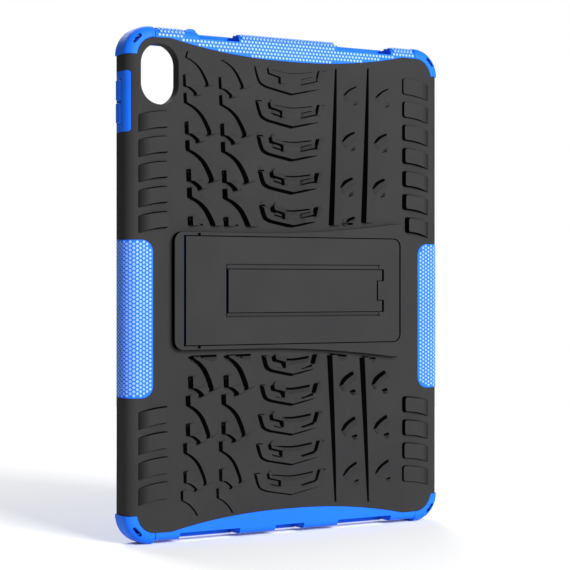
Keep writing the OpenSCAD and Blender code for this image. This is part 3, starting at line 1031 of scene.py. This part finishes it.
@dataclass
class Sleeve:
    """The blue inner sleeve with its grips, end bands, panel and front lip."""

    edge_r: float = 6.0
    end_r: float = 3.0
    rim: float = 0.98
    lip_gap: float = 1.2
    band_x: float = 77.0
    band_from: float = 110.0
    band_over: float = 9.5
    waist_share: float = 0.75
    slot_edge: float = 124.8
    slots: tuple[Point, ...] = ((-62.2, -31.0), (28.5, 62.5))
    shell: HardShell = field(default_factory=HardShell)
    comb: Honeycomb = field(default_factory=Honeycomb)

    def on_side(self, run: float, height: float, side: int) -> tuple[Vector, Vector]:
        """Find a place on a grip, which rolls round the long edge.

        Args:
            run: Distance outwards from the grip's inner edge, along the surface.
            height: Height from the middle.
            side: Minus one at the left and one at the right.

        Returns:
            The place and the way out of the surface.
        """
        flat = CASE.half_w - self.edge_r - self.shell.grip_x
        bend = self.edge_r * math.pi / 2
        if run <= flat:
            return Vector((side * (self.shell.grip_x + run), CASE.back_y, height)), Vector((0, -1, 0))
        angle = min((run - flat) / self.edge_r, math.pi / 2)
        way = Vector((side * math.sin(angle), -math.cos(angle), 0))
        centre = Vector((side * (CASE.half_w - self.edge_r), CASE.back_y + self.edge_r, height))
        past = max(0.0, run - flat - bend)
        return centre + way * self.edge_r + Vector((0, past, 0)), way

    def on_end(self, across: float, run: float) -> tuple[Vector, Vector]:
        """Find a place on the top band, which rolls over the top edge.

        Args:
            across: Place across the case.
            run: Height from the middle, carried on over the edge.

        Returns:
            The place and the way out of the surface.
        """
        start = CASE.half_band - self.end_r
        if run <= start:
            return Vector((across, CASE.back_y, run)), Vector((0, -1, 0))
        angle = min((run - start) / self.end_r, math.pi / 2)
        way = Vector((0, -math.cos(angle), math.sin(angle)))
        centre = Vector((across, CASE.back_y + self.end_r, start))
        past = max(0.0, run - start - self.end_r * math.pi / 2)
        return centre + way * self.end_r + Vector((0, past, 0)), way

    def grip_dots(self) -> None:
        """Cover both grips, inside their rounded corners."""
        low, high = self.shell.grip_z
        r = self.shell.grip_r
        flat = CASE.half_w - self.edge_r - self.shell.grip_x
        length = flat + self.edge_r * math.pi / 2 + CASE.shell_front_y - CASE.back_y - self.edge_r
        last = int((length - self.rim - self.lip_gap) / self.comb.column)
        for run, height in self.comb.lattice((1, last + 1), low + self.rim, high - self.rim):
            inner = Vector((max(0.0, r - run), max(0.0, height - (high - r), (low + r) - height)))
            if inner.x > 0 and inner.y > 0 and inner.length > r - self.rim:
                continue
            for side in (-1, 1):
                self.comb.dot(*self.on_side(run, height, side))

    def band_dots(self) -> None:
        """Cover the top band between the shell's waist and the lip, round the slots."""
        column = self.comb.column
        rows = (int(self.band_from / column), int((CASE.half_band + self.band_over) / column) + 1)
        for run, across in self.comb.lattice(rows, -self.band_x, self.band_x):
            if run < self.shell.outline.waist(across) + self.waist_share * self.rim:
                continue
            in_slot = any(a - self.rim < across < b + self.rim for a, b in self.slots)
            if in_slot and run > self.slot_edge:
                continue
            self.comb.dot(*self.on_end(across, run))

    def build(self) -> None:
        """Make the sleeve and its honeycomb and hand them over."""
        bm = copy_of_node("inner_sleeve")
        soften(bm, 0.3)
        finish_piece("inner_sleeve_body", bm, [SATIN_TPU], Body.CASE, ["inner_sleeve"])
        self.grip_dots()
        self.band_dots()
        finish_piece("sleeve_honeycomb", self.comb.bm, [LIT_FLANK_TPU, LIT_CROWN_TPU], Body.CASE,
                     sharp=30)


@dataclass
class CornerBumper:
    """One puffed corner bumper, swept round the corner of the case."""

    right: int
    up: int
    outer_r: float = 14.8
    inset: float = 0.4
    wall: float = 3.4
    back_r: float = 5.0
    lip_r: float = 2.2
    start: Point = (78.6, 115.1)
    flange_y: float = 1.9
    clearance: float = 0.15
    puff: float = 0.9
    slot_half: Point = (3.1, 0.9)
    slot_r: float = 0.89
    slot_at: Point = (88.4, 122.9)
    slot_turn: float = 47.0

    def inner_reach(self, angle: float, centre: Vector) -> float:
        """Distance from the corner's centre to the shell's shoulder.

        Args:
            angle: Direction in degrees.
            centre: The corner's centre.

        Returns:
            The distance, with the clearance.
        """
        shell = ShellOutline()
        x, z, r = shell.shoulder
        way = Vector((math.cos(math.radians(angle)), math.sin(math.radians(angle))))
        offset = centre - Vector((x, z))
        b = offset.dot(way)
        return -b + math.sqrt(b * b - offset.length_squared + (r + self.clearance) ** 2)

    def section(self, inner: float) -> list[Point]:
        """Cross-section as distance from the centre and depth.

        Args:
            inner: Where the back flange starts.

        Returns:
            A closed outline.
        """
        back, front, r = CASE.back_y, CASE.front_y, self.outer_r
        inside = r - self.wall
        return [(inner, back + 0.25), (inner + 0.25, back),
                *arc(r - self.back_r, back + self.back_r, self.back_r, -90, 0, 7),
                *arc(r - self.lip_r, front - self.lip_r, self.lip_r, 0, 90, 4),
                (inside, front), (inside, back + self.flange_y), (inner, back + self.flange_y)]

    def slot(self) -> bmesh.types.BMesh:
        """Make the short slot that runs aslant through the back flange.

        Returns:
            A closed solid that is cut away.
        """
        x, z = self.slot_half
        bm = bmesh.new()
        sweep(bm, [[Vector((a, y, b)) for a, b in round_box((-x, -z), (x, z), self.slot_r, 6)]
                   for y in (CASE.back_y - 2, CASE.back_y + 3)])
        bmesh.ops.rotate(bm, cent=(0, 0, 0), verts=bm.verts,
                         matrix=Matrix.Rotation(math.radians(self.slot_turn), 3, "Y"))
        bmesh.ops.translate(bm, vec=(self.slot_at[0], 0, self.slot_at[1]), verts=bm.verts)
        bmesh.ops.recalc_face_normals(bm, faces=bm.faces)
        return bm

    def build(self) -> None:
        """Make the bumper and hand it over."""
        centre = Vector((CASE.half_bumper_w - self.inset - self.outer_r, CASE.half_h - self.outer_r))
        bm = bmesh.new()
        rings = []
        side = Vector((self.inner_reach(0, centre), 0))
        rings.append([Vector((centre.x + s, y, self.start[1])) for s, y in self.section(side.x)])
        for angle in range(0, 91, 6):
            turn = math.radians(angle)
            rings.append([Vector((centre.x + s * math.cos(turn), y, centre.y + s * math.sin(turn)))
                          for s, y in self.section(self.inner_reach(angle, centre))])
        rings.append([Vector((self.start[0], y, centre.y + s))
                      for s, y in self.section(self.inner_reach(90, centre))])
        sweep(bm, rings)
        bmesh.ops.recalc_face_normals(bm, faces=bm.faces)
        end_x, low = self.start[0] + 0.4, centre.y + self.outer_r - self.wall - 3
        # Only the outer part of the end by the middle band is puffed.
        soften(bm, self.puff, angle=55, segments=4,
               keep=lambda e: any(abs(abs(f.normal.x) - 1) < 0.01
                                  and f.calc_center_median().x < end_x for f in e.link_faces)
               and min(v.co.z for v in e.verts) > low)
        combine(bm, self.slot(), "DIFFERENCE")
        bmesh.ops.scale(bm, vec=(self.right, 1, self.up), verts=bm.verts)
        bmesh.ops.recalc_face_normals(bm, faces=bm.faces)
        where = f"{'top' if self.up > 0 else 'bottom'}_{'right' if self.right > 0 else 'left'}"
        finish_piece(f"bumper_{where}", bm, [SATIN_TPU], Body.CASE,
                     [f"corner_bumper_{where}"])


@dataclass
class VolumeCover:
    """One soft cover over a volume button."""

    body: Body
    node: str
    edge: float = 0.8

    def build(self) -> None:
        """Make the cover and hand it over."""
        bm = copy_of_node(self.node)
        outer = min(v.co.x for v in bm.verts)
        soften(bm, self.edge, segments=4, keep=lambda e: any(v.co.x < outer + 0.01 for v in e.verts))
        finish_piece(f"{self.node}_cap", bm, [SATIN_TPU], self.body, [self.node])


# ---------------------------------------------------------------- kickstand

@dataclass
class Kickstand:
    """The kickstand plate and its prop leg, with softened edges, and their steel pins."""

    edge: float = 0.3
    rail_x: Point = (-40.5, 53.2)
    rail_z: Point = (-16.6, 10.8)
    line: float = 0.6
    line_depth: float = 1.1
    end_line: float = 0.84
    end_depth: float = 1.3

    def score_lines(self, bm: bmesh.types.BMesh) -> None:
        """Cut the fine lines round the prop's window into the plate."""
        (x0, x1), (z0, z1), w, face = self.rail_x, self.rail_z, self.line, CASE.face_y
        for low in (z0, z1 - w):
            groove = block((x0, x1), (face - 1, face + self.line_depth), (low, low + w))
            combine(bm, groove, "DIFFERENCE")
        end = block((x0 - 0.01, x0 + self.end_line), (face - 1, face + self.end_depth), (z0, z1))
        combine(bm, end, "DIFFERENCE")

    def build(self) -> None:
        """Make both leaves, dress the pins and hand them over."""
        leaves = (("kickstand_plate", "kickstand_leaf", Body.KICKSTAND),
                  ("prop_leg", "prop_leaf", Body.PROP))
        for node, name, body in leaves:
            bm = copy_of_node(node)
            soften(bm, self.edge, keep=lambda e: e.calc_length() > 0.8)
            if body is Body.KICKSTAND:
                self.score_lines(bm)
            bm.normal_update()
            # Painted shade: the edge faces take the near-black wall shade finish.
            for f in bm.faces:
                f.material_index = 1 if abs(f.normal.y) < 0.55 else 0
            finish_piece(name, bm, [FINE_ABS, WALL_SHADE_ABS], body, [node])
        for node in ("kickstand_pins", "prop_pin"):
            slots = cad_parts[node].data.materials
            slots.clear()
            slots.append(OXIDE_STEEL.material())


# ---------------------------------------------------------------- studio

@dataclass
class Studio:
    """Pale floor, two soft lights, weak surroundings and the camera."""

    camera_at: Vector = field(default_factory=lambda: Vector((-0.4308, -0.7452, 0.130)))
    azimuth: float = -30.0
    lens: float = 103.1

    def camera(self) -> None:
        """Set up the camera, level with the middle of the case."""
        data = bpy.data.cameras.new("camera")
        data.lens = self.lens
        data.sensor_width = 36
        made = bpy.data.objects.new("camera", data)
        made.location = self.camera_at
        made.rotation_euler = (math.radians(90), 0, math.radians(self.azimuth))
        bpy.context.scene.collection.objects.link(made)
        bpy.context.scene.camera = made

    def light(self, name: str, azimuth: float, elevation: float, distance: float, size: float,
              power: float) -> None:
        """Add one soft area light that looks at the case.

        Args:
            name: Its name.
            azimuth: Direction in degrees, as for a view.
            elevation: Angle over the horizon in degrees.
            distance: How far off it is in metres.
            size: Its side in metres.
            power: Its power in watts.
        """
        data = bpy.data.lights.new(name, "AREA")
        data.size = size
        data.energy = power
        made = bpy.data.objects.new(name, data)
        a, e = math.radians(azimuth), math.radians(elevation)
        way = Vector((math.sin(a) * math.cos(e), -math.cos(a) * math.cos(e), math.sin(e)))
        made.location = Vector((0, 0, CASE.mid_z * MM)) + way * distance
        made.rotation_euler = way.to_track_quat("Z", "Y").to_euler()
        bpy.context.scene.collection.objects.link(made)

    def floor(self) -> None:
        """Lay a pale floor."""
        bm = bmesh.new()
        bmesh.ops.create_circle(bm, cap_ends=True, segments=96, radius=0.9)
        mesh = bpy.data.meshes.new("floor")
        bm.to_mesh(mesh)
        bm.free()
        paint = bpy.data.materials.new("matt white paint")
        paint.use_nodes = True
        shader = paint.node_tree.nodes["Principled BSDF"]
        shader.inputs["Base Color"].default_value = to_linear("#f4f4f4")
        shader.inputs["Roughness"].default_value = 0.9
        mesh.materials.append(paint)
        floor = bpy.data.objects.new("floor", mesh)
        bpy.context.scene.collection.objects.link(floor)

    def world(self) -> None:
        """White surroundings that the camera sees, and that light the case only weakly."""
        world = bpy.data.worlds.new("studio")
        bpy.context.scene.world = world
        world.use_nodes = True
        tree = world.node_tree
        tree.nodes.clear()
        seen = add_node(tree, "ShaderNodeLightPath").outputs["Is Camera Ray"]
        strength = add_node(tree, "ShaderNodeMapRange", {"Value": seen, "To Min": 0.2, "To Max": 1.0})
        shade = add_node(tree, "ShaderNodeBackground",
                         {"Color": to_linear("#ffffff"), "Strength": strength.outputs["Result"]})
        add_node(tree, "ShaderNodeOutputWorld", {"Surface": shade.outputs["Background"]})

    def build(self) -> None:
        """Set up the whole studio."""
        self.camera()
        self.floor()
        self.world()
        self.light("key", azimuth=14, elevation=20, distance=1.6, size=0.9, power=56)
        self.light("front", azimuth=170, elevation=45, distance=1.8, size=1.2, power=30)
        bpy.context.scene.view_settings.view_transform = "Standard"


def main() -> None:
    """Build the case, piece by piece."""
    Studio().build()
    shell = HardShell()
    shell.build()
    Tread().build()
    Sleeve(shell=shell).build()
    for up in (1, -1):
        for right in (-1, 1):
            CornerBumper(right, up).build()
    VolumeCover(Body.VOLUME_UP, "volume_up_cover").build()
    VolumeCover(Body.VOLUME_DOWN, "volume_down_cover").build()
    Kickstand().build()


if __name__ == "__main__":
    main()
